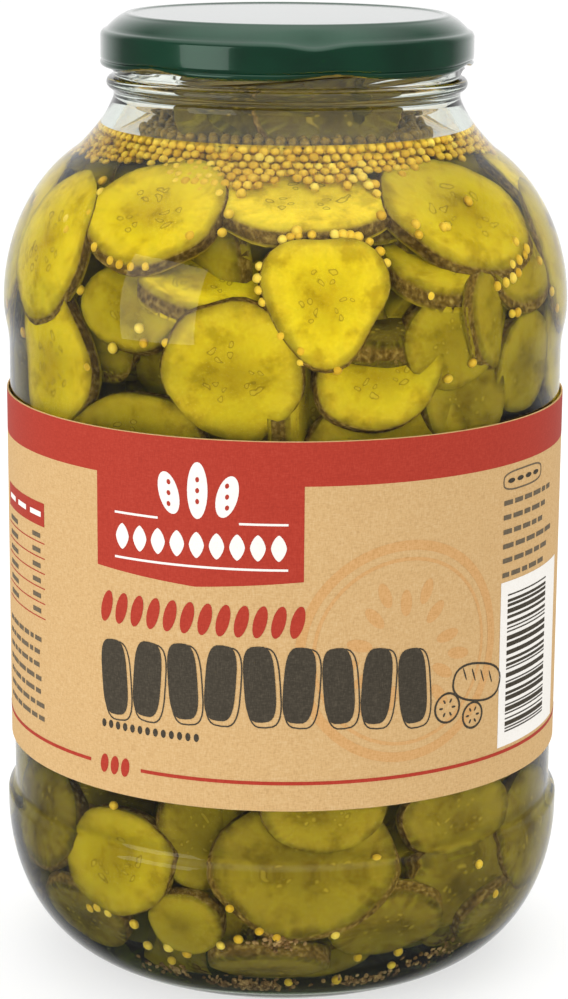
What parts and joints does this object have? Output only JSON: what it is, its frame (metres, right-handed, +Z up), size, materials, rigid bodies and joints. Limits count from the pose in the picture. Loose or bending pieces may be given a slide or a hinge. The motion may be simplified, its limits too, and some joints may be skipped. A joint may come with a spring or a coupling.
{
  "type": "glass jar of sliced pickled cucumbers",
  "caption": "Tall round glass jar with a bulging shoulder, metal twist-off lid and paper wrap label, filled with sliced pickled cucumbers, mustard seeds and brine.",
  "frame": {"origin": "centre of the base, on the surface that the jar stands on", "axes": "+Z up along the jar's axis, the front of the label towards -Y, +X to the right of someone who faces the label"},
  "size_m": [0.131, 0.131, 0.2202],
  "materials": {
    "glass": "clear soda-lime container glass, faintly green where it is thick, fire-polished and smooth",
    "green_enamel": "tinplate with glossy dark green enamel, softly reflective",
    "kraft_paper": "uncoated brown kraft paper with a fine fibre, printed with a red band and panel and plain dark and pale shapes",
    "pickles": "wet translucent yellow-green cucumber flesh with darker skin at the rims, and round yellow mustard seeds"
  },
  "bodies": {
    "root": {"glass_jar": "glass", "lid": "green_enamel", "label": "kraft_paper", "pickle_heap": "pickles"}
  },
  "joints": []
}
